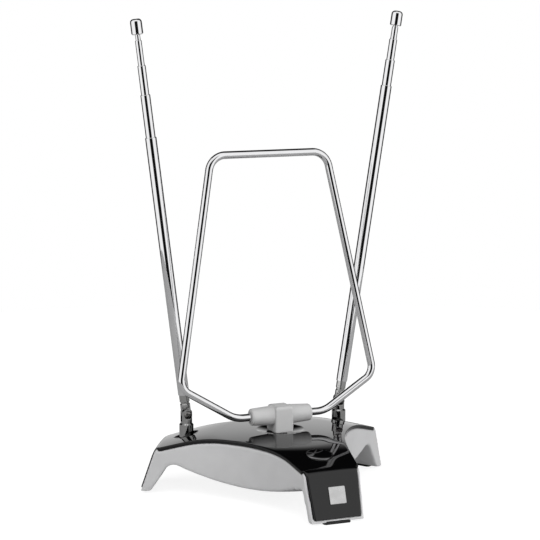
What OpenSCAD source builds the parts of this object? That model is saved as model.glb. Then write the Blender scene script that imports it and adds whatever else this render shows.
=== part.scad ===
// Indoor television antenna: a three-legged base that carries a tilting loop
// and two telescopic rods. Millimetres, +Z up.
// The origin is on the table, under the middle of the front foot.

/* [Base] */
// Reach of the front leg from the point where the legs meet
front_reach = 82.5; // [77:0.5:92]
// Reach of each side leg from the same point
side_reach = 87; // [81:0.5:96]
// Flare of a leg's sides seen from above, degrees
leg_flare = 8.8; // [6:0.2:10]
// Distance from the middle to the waist between two legs
waist = 39; // [37:0.5:44]
// Radius of the hollow side between two legs
side_r = 110; // [90:5:140]
// Lean of a leg's end face from the vertical, degrees
end_lean = 19.3; // [15:0.5:23]
// Radius where the top rolls over into a leg's end
end_round = 6; // [3:0.5:8]
// Thickness of a leg at its foot, measured along the leg
foot_depth = 6.8; // [6:0.2:9]
// Lean of a leg's inner face from the vertical, degrees
foot_lean = 33.5; // [28:0.5:38]
// Height of the arch beside a leg
arch_z = 18.9; // [16:0.2:20]
// Radius of the arch beside a leg
arch_r = 7; // [5:0.5:9]
// Slope of the arch down towards the belly, degrees
arch_slope = 23.3; // [20:0.5:26]
// Height of the lowest point of the belly
belly_z = 5; // [4:0.5:8]
// Radius of the rounded belly
belly_r = 165; // [150:5:190]
// Wall of the housing
wall = 2.2; // [1.8:0.1:2.6]

/* [Cover] */
// Height of the cover at its middle
top_z = 38.6; // [37.6:0.2:44]
// Radius of the crown of the cover
crown_r = 700; // [500:10:900]
// Distance from the middle at which the shoulder starts
shoulder_at = 40; // [34:1:46]
// Radius of the shoulder that runs down to the legs
shoulder_r = 90; // [80:5:150]
// Slope of the cover's roof above the legs, degrees
roof_slope = 16.7; // [14:0.1:19]
// Thickness of the cover
cover_t = 2.2; // [1.8:0.1:2.8]
// How far the cover's end plate stands in from the sides of a leg
plate_inset = 1.3; // [0.8:0.1:2.2]
// Height of the housing's lip below an end plate
lip_h = 1.9; // [1:0.1:4]
// How far an end plate stands proud of the housing
plate_proud = 0.4; // [0.1:0.1:0.8]
// Gap of the seam between the cover and the housing
seam = 0.15; // [0.05:0.05:0.3]

/* [Feet] */
// Height of the housing above the table
foot_z = 1.2; // [0.8:0.1:2]
// Length of a rubber pad across its leg
pad_l = 17; // [14:0.5:24]
// Depth of the pocket that holds a pad
pad_pocket = 0.8; // [0.5:0.1:1.4]

/* [Loop] */
// Height of the loop's tilting axis
loop_z = 47.4; // [46:0.2:52]
// Distance of the hub behind the point where the legs meet
hub_back = 3.9; // [2:0.1:6]
// Radius of the loop's tube
loop_r = 2.4; // [2:0.1:2.6]
// Wall of the loop's tube
loop_wall = 0.6; // [0.4:0.1:0.9]
// Half the width of the loop at its foot
loop_foot = 29.9; // [28:0.5:36]
// Half the width of the loop at its widest
loop_wide = 64.6; // [56:0.5:72]
// Height of the widest point above the hub
loop_wide_h = 21.1; // [18:0.5:30]
// Half the width of the loop at its top
loop_top = 38.15; // [32:0.5:46]
// Height of the top above the hub
loop_h = 161; // [120:1:190]
// Rest lean of the loop away from the front, degrees
loop_lean = 6.3; // [0:0.1:9]

/* [Hub] */
// Half the length of the hub across the antenna
hub_half = 20; // [17:0.5:23]
// Radius of a sleeve where it meets the block
sleeve_r = 6.1; // [5.4:0.1:6.6]
// Radius of a sleeve at its open end
sleeve_end_r = 5.2; // [4.6:0.1:5.4]
// Width of the hub's block at its foot
block_w = 12; // [11:0.2:13]
// Depth of the hub's block
block_d = 14.8; // [13:0.2:16]
// Height of the hub's top above the tilting axis
block_up = 6.4; // [6:0.2:8]
// Radius of the hub's stem
stem_r = 4.2; // [3.4:0.1:4.8]

/* [Rods] */
// Distance of each rod from the point where the legs meet
rod_at = 60; // [56:0.5:62]
// Height of the rods' hinge screws
pivot_z = 46.8; // [46:0.2:52]
// Radius of the collar that turns in the cover
collar_r = 4.4; // [4:0.1:4.8]
// Radius of the fork above the collar
fork_r = 3.6; // [3.2:0.1:3.8]
// Thickness of the tongue between the fork's cheeks
tongue_t = 2.4; // [2:0.1:3]
// Radius of the hinge screw's shank
hinge_r = 1.25; // [1:0.05:1.5]
// Radius of the hinge screw's head
hinge_head_r = 2.6; // [2.2:0.1:2.9]
// Lean of the left rod away from the loop, degrees
left_lean = 7.2; // [0:0.1:30]
// Lean of the right rod away from the loop, degrees
right_lean = 9.1; // [0:0.1:30]
// Outer radius of the largest rod tube
tube_r = 3.5; // [3.2:0.05:3.6]
// Wall of every rod tube
tube_wall = 0.4; // [0.3:0.05:0.4]
// Distance from the hinge screw to the largest tube
tube_start = 12.8; // [11:0.2:16]
// Length of the left rod's largest tube
left_tube_l = 160.8; // [120:0.4:200]
// Length of the right rod's largest tube
right_tube_l = 189.6; // [120:0.4:220]
// How far tubes two to five of the left rod are drawn out
left_drawn = [25.9, 17.6, 15.1, 3.4];
// How far tubes two to five of the right rod are drawn out
right_drawn = [16.3, 13.1, 7.8, 0.5];
// Radius of the tip cap
cap_r = 3.6; // [3.2:0.1:4.4]
// Height of the tip cap
cap_h = 9.6; // [7:0.2:14]

/* [Button] */
// Distance of the button from the point where the legs meet
button_at = 54.3; // [52:0.5:55.5]
// Radius of the button
button_r = 8.3; // [7:0.1:8.6]
// Depth of the dish in the button's top
button_dish = 1.1; // [0.5:0.1:1.6]
// Travel of the button
button_travel = 1.2; // [0.8:0.1:1.6]

/* [Name plate] */
// Width of the bare plate on the front leg
plate_w = 10.5; // [8:0.5:14]
// Height of the bare plate on the front leg
plate_h = 10.2; // [7:0.2:13]
// Thickness of the bare plate
plate_t = 0.5; // [0.3:0.1:0.8]
// Distance of the plate's middle from the leg's middle line
plate_x = 3; // [-4:0.5:4]
// Height of the plate's middle
plate_z = 15; // [12:0.5:18]

/* [Electronics] */
// Gap between the arches and the circuit board
board_gap = 0.3; // [0.2:0.1:0.5]
// Thickness of the circuit board
board_t = 1.6; // [1:0.2:2]
// Radius of the round middle of the board
board_r = 32; // [28:0.5:33]
// Width of each arm of the board
board_arm_w = 15; // [13:0.5:17]
// Radius of the aerial socket's bore
socket_r = 4.75; // [4.5:0.05:4.8]
// Depth of the aerial socket's bore
socket_l = 9; // [7:0.5:10]
// Radius of the power socket's bore
jack_r = 2.75; // [2.5:0.05:3]
// Depth of the power socket's bore
jack_l = 8; // [7:0.5:9]
// Distance of each socket from the middle line
socket_x = 10; // [9:0.5:12]
// Radius of the ballast plate
ballast_r = 24; // [20:0.5:26]
// Thickness of the ballast plate
ballast_t = 3; // [2:0.5:4]

/* [Fastening] */
// Distance of the housing screws from the point where the legs meet
screw_at = 40; // [38:0.5:42]
// Radius of a housing screw's thread
screw_r = 1.5; // [1.2:0.1:1.6]
// Radius of a housing screw's head
screw_head_r = 2.8; // [2.4:0.1:3]

/* [Fits] */
// Radial clearance of parts that turn in each other
turn_fit = 0.05; // [0.03:0.01:0.1]
// Radial clearance of a tube that slides in another
slide_fit = 0.1; // [0.06:0.01:0.1]
// Clearance round parts that drop into place
drop_fit = 0.2; // [0.1:0.05:0.3]

/* [Hidden] */
$fn = 64;

gloss_black = [0.05, 0.05, 0.06];
light_grey = [0.80, 0.80, 0.81];
chrome = [0.86, 0.87, 0.88];
nickel = [0.70, 0.70, 0.68];
rubber = [0.10, 0.10, 0.10];

legs_y = front_reach - foot_depth / 2;
// How far a hollow side cuts into the straight sides of the legs
side_cut = 0.02;
leg_dir = [-90, 30, 150];
leg_reach = [front_reach, side_reach, side_reach];
far = 120;

// Height of the circuit board's underside
board_z = arch_z + wall + board_gap;

// Points of an arc round c, from angle a0 to angle a1
function arc(c, r, a0, a1, steps) =
    [for (i = [0 : steps]) c + r * [cos(a0 + (a1 - a0) * i / steps), sin(a0 + (a1 - a0) * i / steps)]];

function unit(v) = v / norm(v);
function angle_of(v) = atan2(v[1], v[0]);
function turn_of(a) = a > 180 ? a - 360 : a <= -180 ? a + 360 : a;

// One rounded corner at v, between the points p and n
function round_corner(p, v, n, r, steps) =
    let (u = unit(p - v), w = unit(n - v))
    let (half = acos(max(-1, min(1, u * w))) / 2)
    let (c = v + unit(u + w) * r / sin(half))
    let (a0 = angle_of(v + u * r / tan(half) - c), a1 = angle_of(v + w * r / tan(half) - c))
    arc(c, r, a0, a0 + turn_of(a1 - a0), steps);

// An outline with every corner rounded by the radius in the same place of rr
function rounded(pts, rr, steps = 4) =
    [for (i = [0 : len(pts) - 1])
        each rr[i] <= 0 ? [pts[i]] :
            round_corner(pts[(i + len(pts) - 1) % len(pts)], pts[i], pts[(i + 1) % len(pts)], rr[i], steps)];

function slab(w, h) = [[-w / 2, -h / 2], [w / 2, -h / 2], [w / 2, h / 2], [-w / 2, h / 2]];

// Height of the cover's top at the distance r from the middle
shoulder_a = asin(shoulder_at / crown_r);
shoulder_c = [shoulder_at - shoulder_r * sin(shoulder_a),
    top_z - crown_r + (crown_r - shoulder_r) * cos(shoulder_a)];
roof_at = shoulder_c + shoulder_r * [sin(roof_slope), cos(roof_slope)];
function crown(r) = r < shoulder_at
    ? top_z - crown_r + sqrt(crown_r * crown_r - r * r)
    : r < roof_at[0] ? shoulder_c[1] + sqrt(shoulder_r * shoulder_r - pow(r - shoulder_c[0], 2))
    : roof_at[1] - (r - roof_at[0]) * tan(roof_slope);
function crown_slope(r) = atan(crown(r - 0.5) - crown(r + 0.5));

// Where a side of a leg touches the hollow between two legs, drawn in by d
function side_a(d) = (waist + side_r) / 2 - (side_r + d) * sin(leg_flare);
function side_t(d) = (waist + side_r) * cos(30) - (side_r + d) * cos(leg_flare);
function half_width(a, d) = side_t(d) - (a - side_a(d)) * tan(leg_flare);

function leg_point(i, a, t) =
    [a * cos(leg_dir[i]) - t * sin(leg_dir[i]), a * sin(leg_dir[i]) + t * cos(leg_dir[i])];
function leg_outline(i, d) = let (tip = leg_reach[i] - d) [
    leg_point(i, side_a(d), -side_t(d)), leg_point(i, tip, -half_width(tip, d)),
    leg_point(i, tip, half_width(tip, d)), leg_point(i, side_a(d), side_t(d))];

module at_middle() {
    translate([0, legs_y, 0]) children();
}

module on_leg(i) {
    at_middle() rotate([0, 0, leg_dir[i]]) children();
}

// Draws a profile of distance and height, and runs it across a leg
module across_leg(i, width = 2 * far) {
    on_leg(i) rotate([90, 0, 0]) linear_extrude(width, center = true) children();
}

// The base seen from above, drawn in by d
module base_plan(d = 0) {
    difference() {
        polygon([for (i = [0 : 2]) each leg_outline(i, d)]);
        for (i = [0 : 2])
            rotate([0, 0, leg_dir[i] + 60]) translate([waist + side_r, 0]) circle(r = side_r + d + side_cut, $fn = 120);
    }
}

// Everything below the crown lowered by d
crown_limit = max(front_reach, side_reach) + 9;
module under_crown(d = 0) {
    at_middle() rotate_extrude($fn = 120) polygon([[0, -1],
        each [for (r = [0 : shoulder_at / 2 : shoulder_at - 1]) [r, crown(r) - d]],
        each [for (i = [0 : 4]) let (r = shoulder_at + (roof_at[0] - shoulder_at) * i / 4) [r, crown(r) - d]],
        [crown_limit, crown(crown_limit) - d], [crown_limit, -1]]);
}

// The corner where the crown meets the end face of a leg
function end_a(reach, d) = reach - d / cos(end_lean);
function corner_a(reach, d, n = 6) = n == 0 ? reach - 10
    : end_a(reach, d) - (crown(corner_a(reach, d, n - 1)) - d - foot_z) * tan(end_lean);
function end_profile(reach, d) =
    let (a = corner_a(reach, d), z = crown(a) - d, b = crown_slope(a))
    [[-far, -1], [end_a(reach, d) + (foot_z + 1) * tan(end_lean), -1],
        each round_corner([end_a(reach, d), foot_z], [a, z], [a - far * cos(b), z + far * sin(b)],
            max(0.5, end_round - d), 6),
        [a - far * cos(b), z + far * sin(b)], [-far, z + far * sin(b)]];

// Everything inside the end faces of the three legs, drawn in by d
module within_ends(d = 0) {
    intersection_for(i = [0 : 2]) across_leg(i) polygon(end_profile(leg_reach[i], d));
}

// The space under the arch of a leg, grown by d
arch_in = [cos(foot_lean), sin(foot_lean)];
arch_out = [-sin(arch_slope), cos(arch_slope)];
function arch_c(reach) =
    let (c = arch_in * [reach - foot_depth, foot_z], z = arch_z - arch_r)
    [(c - arch_r - arch_in[1] * z) / arch_in[0], z];
module arch_profile(reach, d) {
    c = arch_c(reach);
    r = arch_r + d;
    low = c + r * arch_in;
    high = c + r * arch_out;
    drop = low[1] + far;
    run = high[0] - 10;
    polygon([low + drop * [tan(foot_lean), -1], low, high, high - run * [1, tan(arch_slope)],
        [high[0] - run, -far]]);
    translate(c) circle(r = r);
}

// Height of the belly's skin, d inside it, at the distance r from the middle
function belly_height(r, d) = belly_z + belly_r - sqrt(pow(belly_r - d, 2) - r * r);

// The ball that rounds the belly
module belly_ball(d = 0) {
    at_middle() translate([0, 0, belly_z + belly_r]) sphere(r = belly_r - d, $fn = 120);
}

// Everything below the belly, out to the radius r and up to the height top
module below_belly(d, r, top) difference() {
    at_middle() translate([0, 0, -1]) cylinder(r = r, h = top + 1);
    belly_ball(d);
}

module under_space() {
    for (i = [0 : 2]) across_leg(i, 70) arch_profile(leg_reach[i], 0);
    below_belly(0, belly_limit, arch_z - 1);
}
belly_limit = 56;
cavity_limit = rod_at + collar_r + 2.7;
cavity_reach = cavity_limit + 4.9;
floor_z = belly_z + wall;
post_r = 4;
screw_seat_z = belly_height(screw_at, 0) + 3;

// Sockets at the back
socket_z = board_z + board_t + 5.6;
socket_nose_y = waist + 1.2;
socket_body_r = socket_r + 0.8;
jack_nose_r = jack_r + 1.3;

module at_back(x) {
    at_middle() translate([x, 0, socket_z]) rotate([-90, 0, 0]) children();
}

// A pocket, or a pad, under the foot of a leg
module pad_shape(i, grow, z0, z1) {
    w = foot_depth - 2.2 + 2 * grow;
    l = pad_l + 2 * grow;
    on_leg(i) translate([leg_reach[i] - foot_depth / 2, 0, z0])
        linear_extrude(z1 - z0) polygon(rounded(slab(w, l), [1, 1, 1, 1] * (1.4 + grow)));
}

module base_housing() color(light_grey) difference() {
    union() {
        difference() {
            intersection() {
                at_middle() translate([0, 0, foot_z]) linear_extrude(top_z) base_plan();
                under_crown(cover_t + seam);
                within_ends(plate_proud);
            }
            under_space();
            housing_cavity();
        }
        housing_posts();
        ballast_seat();
    }
    for (i = [0 : 2]) end_recess(i);
    for (i = [0 : 2]) pad_shape(i, 0.05, -1, foot_z + pad_pocket);
    for (i = [0 : 2]) screw_hole(i);
    at_back(-socket_x) cylinder(r = socket_body_r + drop_fit, h = far);
    at_back(socket_x) cylinder(r = jack_nose_r + drop_fit, h = far);
}

module housing_cavity() difference() {
    intersection() {
        at_middle() translate([0, 0, 1]) linear_extrude(top_z) base_plan(wall);
        at_middle() cylinder(r = cavity_limit, h = far);
        at_middle() rotate_extrude($fn = 120) polygon([
            each [for (i = [0 : 9]) let (r = cavity_reach * i / 9) [r, belly_height(r, wall)]],
            [cavity_reach, far], [0, far]]);
    }
    for (i = [0 : 2]) across_leg(i, 70) arch_profile(leg_reach[i], wall);
}

// Hollow posts that carry the board and take the housing screws
module housing_posts() difference() {
    for (i = [0 : 2]) on_leg(i) translate([screw_at, 0, 1]) cylinder(r = post_r, h = board_z - 1);
    below_belly(0, belly_limit, arch_z - 1);
}

module screw_hole(i) {
    on_leg(i) translate([screw_at, 0, 0]) {
        cylinder(r = screw_r + drop_fit, h = far);
        cylinder(r = screw_head_r + drop_fit, h = screw_seat_z);
    }
}

// A ring on the floor that carries the ballast plate
ballast_z = belly_height(ballast_r, wall) + 0.4;
module ballast_seat() difference() {
    at_middle() cylinder(r = ballast_r, h = ballast_z);
    at_middle() cylinder(r = ballast_r - 3, h = far);
    below_belly(0, belly_limit, arch_z - 1);
}

// The step in the end of a leg that an end plate of the cover drops into
module end_recess(i) difference() {
    intersection() {
        on_leg(i) translate([0, 0, foot_z + lip_h])
            linear_extrude(far) end_strip(i, plate_inset - seam);
        across_leg(i) difference() {
            translate([-far, 0]) square([far * 2, far * 2]);
            polygon(end_profile(leg_reach[i], plate_proud + cover_t));
        }
        on_leg(i) translate([cavity_limit, -far, 0]) cube([far, 2 * far, far]);
    }
}

// The strip of a leg between its sides, drawn in by d
module end_strip(i, d) {
    a0 = side_a(0);
    a1 = leg_reach[i] + 10;
    polygon([[a0, -half_width(a0, d)], [a1, -half_width(a1, d)],
        [a1, half_width(a1, d)], [a0, half_width(a0, d)]]);
}

// Cover
hub_y = legs_y + hub_back;
hub_dish_r = 15.2;
hub_dish = 2.4;
rod_dish_r = 8.3;
rod_dish = 1.5;
boss_r = 3.6;
button_well = button_r + drop_fit;
button_z = crown(button_at);
button_tip = crown_slope(button_at);

module on_crown(i, a) {
    on_leg(i) translate([a, 0, crown(a)]) rotate([0, crown_slope(a), 0]) children();
}

// A shallow round dish with the given rim radius and depth
module dish(r, depth) {
    ball = (r * r + depth * depth) / (2 * depth);
    translate([0, 0, ball - depth]) sphere(r = ball, $fn = 120);
}

module at_hub() {
    translate([0, hub_y, 0]) children();
}

module at_rod(s) {
    on_leg(s < 0 ? 2 : 1) translate([rod_at, 0, 0]) children();
}

module top_cover() color(gloss_black) difference() {
    union() {
        cover_roof();
        for (i = [0 : 2]) cover_end(i);
        intersection() {
            cover_stiffening();
            under_crown(cover_t / 2);
        }
    }
    at_hub() {
        translate([0, 0, crown(hub_back)]) dish(hub_dish_r, hub_dish);
        cylinder(r = stem_r + turn_fit, h = far);
    }
    for (s = [-1, 1]) {
        on_crown(s < 0 ? 2 : 1, rod_at) dish(rod_dish_r, rod_dish);
        at_rod(s) cylinder(r = collar_r + turn_fit, h = far);
    }
    on_crown(0, button_at) translate([0, 0, -far / 2]) cylinder(r = button_well, h = far);
    for (i = [0 : 2]) on_leg(i) translate([screw_at, 0, 0]) cylinder(r = screw_r, h = screw_end_z);
    at_back(-socket_x) cylinder(r = socket_body_r + drop_fit, h = waist);
    at_back(socket_x) cylinder(r = jack_nose_r + drop_fit, h = waist);
}
screw_end_z = crown(screw_at) - cover_t - 0.6;

// The roof, with a rib that locates it inside the housing's wall
module cover_roof() difference() {
    intersection() {
        at_middle() translate([0, 0, foot_z]) linear_extrude(top_z) base_plan();
        under_crown();
        within_ends();
    }
    difference() {
        under_crown(cover_t);
        locating_rib();
    }
}

module locating_rib() intersection() {
    at_middle() linear_extrude(top_z) difference() {
        base_plan(wall + seam);
        base_plan(wall + seam + 1.2);
    }
    at_middle() translate([0, 0, 0]) cylinder(r = cavity_limit - 2, h = top_z);
    difference() {
        under_crown(cover_t - 0.1);
        under_crown(cover_t + 2);
    }
}

module cover_end(i) intersection() {
    on_leg(i) translate([0, 0, foot_z + lip_h + seam]) linear_extrude(top_z) end_strip(i, plate_inset);
    across_leg(i) difference() {
        polygon(end_profile(leg_reach[i], 0));
        polygon(end_profile(leg_reach[i], cover_t));
    }
    under_crown();
    on_leg(i) translate([corner_a(leg_reach[i], cover_t) - 1, -far, 0]) cube([far, 2 * far, far]);
}

// Bearings, the button's guide and the screw bosses under the roof
bearing_z = [crown(hub_back) - 7, crown(rod_at) - 5.6];
module cover_stiffening() {
    at_hub() translate([0, 0, bearing_z[0]]) cylinder(r = stem_r + 3.2, h = far);
    intersection() {
        at_hub() translate([0, 0, crown(hub_back) - cover_t - 2.4]) cylinder(r = hub_dish_r + 1.5, h = far);
        under_crown(0.5);
    }
    for (s = [-1, 1]) at_rod(s) translate([0, 0, bearing_z[1]]) cylinder(r = collar_r + 2.4, h = far);
    on_crown(0, button_at) translate([0, 0, -6]) cylinder(r = button_well + 1.4, h = far);
    for (i = [0 : 2]) on_leg(i) translate([screw_at, 0, board_z + board_t]) cylinder(r = boss_r, h = far);
}

module foot_pad(i) color(rubber) pad_shape(i, 0, 0, foot_z + pad_pocket);
module front_foot() foot_pad(0);
module right_foot() foot_pad(1);
module left_foot() foot_pad(2);

// A bare metal plate let on to the front leg's end plate
module name_plate() color(nickel)
    on_leg(0) translate([leg_reach[0] - (plate_z - foot_z) * tan(end_lean), plate_x, plate_z])
        rotate([0, 90 - end_lean, 0]) rotate([0, 0, 90])
            linear_extrude(plate_t) polygon(rounded(slab(plate_w, plate_h), [1, 1, 1, 1] * 0.6));

// Button and switch, on the tilted axis of the button
button_h = 4.4;
button_sink = 0.3;
stem_l = 1.4;
plunger_r = 1.4;
plunger_in = 1.5;
switch_w = 8;
switch_h = 4;
switch_z = board_z + board_t;
switch_drop = (button_z - switch_z - switch_h) / cos(button_tip);

module at_button() {
    on_crown(0, button_at) children();
}

module power_button() color(gloss_black) at_button() translate([0, 0, -button_sink]) difference() {
    union() {
        rotate_extrude() polygon([[0, -button_h], [button_r, -button_h],
            each arc([button_r - 0.5, -0.5], 0.5, 0, 90, 4), [0, 0]]);
        translate([0, 0, -button_h - stem_l]) cylinder(r = 2, h = button_h);
    }
    dish(button_r - 0.9, button_dish);
    translate([0, 0, -button_h]) difference() {
        translate([0, 0, -1]) cylinder(r = button_r - 1.4, h = button_h - button_dish - 0.4);
        cylinder(r = 2.6, h = far, center = true);
    }
}

// The rod that carries the button's stroke into the switch
module switch_plunger() color([0.90, 0.88, 0.82]) at_button()
    translate([0, 0, -switch_drop - plunger_in])
        cylinder(r = plunger_r, h = switch_drop + plunger_in - button_sink - button_h - stem_l);

module push_switch() color([0.16, 0.16, 0.17]) difference() {
    on_leg(0) translate([button_at - (button_z - switch_z) * tan(button_tip), 0, switch_z])
        translate([-switch_w / 2, -switch_w / 2, 0]) cube([switch_w, switch_w, switch_h]);
    at_button() translate([0, 0, -switch_drop - plunger_in - button_travel - drop_fit])
        cylinder(r = plunger_r + drop_fit, h = far);
}

// Circuit board: a round middle with an arm into each leg
board_reach = [60.5, 62.5, 62.5];
module circuit_board() color([0.10, 0.30, 0.16]) difference() {
    at_middle() translate([0, 0, board_z]) linear_extrude(board_t) union() {
        circle(r = board_r);
        for (i = [0 : 2]) rotate([0, 0, leg_dir[i]])
            translate([board_reach[i] / 2, 0])
                polygon(rounded(slab(board_reach[i], board_arm_w), [1, 1, 1, 1] * 2));
    }
    for (i = [0 : 2]) on_leg(i) translate([screw_at, 0, 0]) cylinder(r = screw_r + drop_fit, h = far);
}

module shield_can() color([0.72, 0.73, 0.74]) at_middle() translate([0, 4, board_z + board_t])
    difference() {
        linear_extrude(can_h) polygon(rounded(slab(36, 24), [1, 1, 1, 1] * 1.2));
        translate([0, 0, -1]) linear_extrude(can_h + 0.6) polygon(rounded(slab(35.2, 23.2), [1, 1, 1, 1]));
        for (x = [-12 : 6 : 12]) translate([x, 0, 0]) cylinder(r = 1, h = far);
    }
can_h = 4.6;

// The aerial socket: a flanged body with a springy centre contact
module aerial_socket() color(nickel) at_back(-socket_x) {
    difference() {
        translate([0, 0, socket_nose_y - socket_l - 5]) cylinder(r = socket_body_r, h = socket_l + 5);
        translate([0, 0, socket_nose_y - socket_l]) cylinder(r = socket_r, h = far);
    }
    difference() {
        translate([0, 0, socket_nose_y - socket_l - 1]) cylinder(r = 1.9, h = socket_l);
        translate([0, 0, socket_nose_y - socket_l + 1]) cylinder(r = 1.2, h = far);
    }
    socket_foot(socket_body_r, socket_nose_y - socket_l - 5, 9);
}

// The power socket: a round nose with a centre pin
module power_socket() color([0.08, 0.08, 0.08]) at_back(socket_x) {
    difference() {
        union() {
            translate([0, 0, socket_nose_y - jack_l - 4]) cylinder(r = jack_nose_r, h = jack_l + 4);
            socket_foot(jack_nose_r, socket_nose_y - jack_l - 4, 8);
        }
        translate([0, 0, socket_nose_y - jack_l]) cylinder(r = jack_r, h = far);
    }
    translate([0, 0, socket_nose_y - jack_l - 1]) cylinder(r = 1.05, h = jack_l);
}

// A square shoulder that stands a socket on the board
module socket_foot(r, y, l) {
    h = socket_z - board_z - board_t;
    translate([-r, 0, y]) cube([2 * r, h, l]);
}

module ballast_plate() color([0.45, 0.46, 0.47]) at_middle() translate([0, 0, ballast_z])
    difference() {
        cylinder(r = ballast_r, h = ballast_t);
        for (a = [0 : 120 : 240]) rotate([0, 0, a]) translate([ballast_r * 0.6, 0, -1]) cylinder(r = 2.2, h = far);
    }

module housing_screws() color(nickel) for (i = [0 : 2])
    on_leg(i) translate([screw_at, 0, screw_seat_z]) difference() {
        union() {
            cylinder(r = screw_r, h = screw_end_z - screw_seat_z - 1);
            translate([0, 0, -2]) cylinder(r = screw_head_r, h = 2);
        }
        for (a = [0, 90]) rotate([0, 0, a]) translate([-1.6, -0.35, -2.5]) cube([3.2, 0.7, 1.5]);
    }

// Loop
loop_pts = [[loop_foot, 0], [loop_wide, loop_wide_h], [loop_top, loop_h],
    [-loop_top, loop_h], [-loop_wide, loop_wide_h], [-loop_foot, 0]];
loop_bends = [18, 9, 11, 11, 9, 18];
loop_end = 4.4;

module bar(p, q) {
    d = q - p;
    translate([p[0], 0, p[1]]) rotate([0, 90 - angle_of(d), 0]) translate([0, 0, -bar_grip])
        linear_extrude(norm(d) + 2 * bar_grip) ring(0);
}

// The tube's section, its wall swollen by d both ways
module ring(d) difference() {
    circle(r = loop_r + d, $fn = 32);
    circle(r = loop_r - loop_wall - d, $fn = 32);
}
bar_grip = 0.3;
bend_swell = 0.03;

// A bend of radius bend at v, on the way from p to n
module elbow(p, v, n, bend) {
    a_in = angle_of(v - p);
    turn = turn_of(angle_of(n - v) - a_in);
    start = v - unit(v - p) * bend * tan(turn / 2);
    c = start + bend * [cos(a_in + 90), sin(a_in + 90)];
    translate([c[0], 0, c[1]]) rotate([90, 0, 0]) rotate([0, 0, a_in - 90])
        rotate_extrude(angle = turn, $fn = 60) translate([bend, 0]) ring(bend_swell);
}

function bend_run(i) = let (p = loop_pt(i - 1), v = loop_pt(i), n = loop_pt(i + 1))
    loop_bends[i] * tan(turn_of(angle_of(n - v) - angle_of(v - p)) / 2);
function loop_pt(i) = i < 0 ? [loop_end, 0] : i > 5 ? [-loop_end, 0] : loop_pts[i];

module loop_sweep() {
    for (i = [0 : 6]) {
        p = loop_pt(i - 1);
        q = loop_pt(i);
        run_in = i == 0 ? 0 : bend_run(i - 1);
        run_out = i == 6 ? 0 : bend_run(i);
        bar(p + unit(q - p) * run_in, q - unit(q - p) * run_out);
    }
    for (i = [0 : 5]) elbow(loop_pt(i - 1), loop_pt(i), loop_pt(i + 1), loop_bends[i]);
}

module at_loop() {
    translate([0, hub_y, loop_z]) rotate([-loop_lean, 0, 0]) children();
}

module loop_tube() color(chrome) at_loop() loop_sweep();

// Hub: a block with a sleeve to each side and a stem below
block_foot_z = crown(hub_back) - hub_dish * (1 - pow(norm([block_w, block_d]) / 2 / hub_dish_r, 2)) + 0.25;
block_top_z = loop_z + block_up;
stem_end_z = bearing_z[0] - 0.3;
module loop_hub() color(light_grey) at_hub() difference() {
    union() {
        intersection() {
            rotate([90, 0, 0]) linear_extrude(far, center = true) polygon(rounded([
                [-block_w / 2, block_foot_z], [block_w / 2, block_foot_z],
                [block_w / 2 - 0.5, block_top_z], [-block_w / 2 + 0.5, block_top_z]], [0.3, 0.3, 1.4, 1.4]));
            rotate([90, 0, 90]) linear_extrude(far, center = true) polygon(rounded([
                [-block_d / 2, block_foot_z], [block_d / 2, block_foot_z],
                [block_d / 2 - 0.4, block_top_z], [-block_d / 2 + 0.2, block_top_z]], [0.3, 0.3, 3.2, 1.8]));
            linear_extrude(far) polygon(rounded(slab(block_w, block_d), [1, 1, 1, 1] * 0.9));
        }
        for (s = [-1, 1]) hub_sleeve(s);
        translate([0, 0, stem_end_z]) cylinder(r = stem_r, h = block_foot_z + 1 - stem_end_z);
    }
    for (s = [0, 180]) translate([0, 0, loop_z]) rotate([0, 90, s])
        translate([0, 0, loop_end - 0.3]) cylinder(r = loop_r + turn_fit, h = far);
    translate([0, 0, stem_end_z - 1]) cylinder(r = screw_r, h = 8);
}

module hub_sleeve(s) {
    translate([0, 0, loop_z]) rotate([0, s * 90, 0]) rotate_extrude()
        polygon([[0, 0], [sleeve_r, 0], [sleeve_r, block_w / 2],
            each round_corner([sleeve_r, block_w / 2], [sleeve_end_r, hub_half], [0, hub_half], 1.3, 5),
            [0, hub_half]]);
}

// A washer and a screw hold the hub's stem up against the bearing
module hub_washer() color(nickel) at_hub() translate([0, 0, stem_end_z - washer_t]) difference() {
    cylinder(r = stem_r + 2.4, h = washer_t);
    translate([0, 0, -1]) cylinder(r = screw_r, h = far);
}
washer_t = 0.8;

module hub_screw() color(nickel) at_hub() translate([0, 0, stem_end_z - washer_t]) {
    cylinder(r = screw_r, h = washer_t + 5);
    translate([0, 0, -1.6]) cylinder(r = screw_head_r, h = 1.6);
}

// Rods
rod_side = [-1, 1];
fork_shoulder_z = pivot_z - 5.4;
fork_top = fork_r;
stud_r = 2.5;
nut_h = 2;
nut_z = bearing_z[1] - 0.3 - nut_h;
stud_z = nut_z - 0.4;
cheek_gap = tongue_t + 0.1;
head_seat = fork_r - 0.5;
head_h = 1.7;

function rod_lean(s) = s < 0 ? -left_lean : right_lean;
function first_l(s) = s < 0 ? left_tube_l : right_tube_l;
function drawn(s) = s < 0 ? left_drawn : right_drawn;
function tube_radius(k) = tube_r - (k - 1) * (tube_wall + slide_fit);
function tube_top(s, k) = k == 1 ? tube_start + first_l(s) : tube_top(s, k - 1) + drawn(s)[k - 2];
function tube_length(s, k) = k == 1 ? first_l(s) : first_l(s) - 10;

module at_pivot(s) {
    at_rod(s) rotate([0, 0, s < 0 ? -150 : -30]) translate([0, 0, pivot_z]) children();
}

module along_rod(s) {
    at_pivot(s) rotate([0, rod_lean(s), 0]) children();
}

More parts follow.
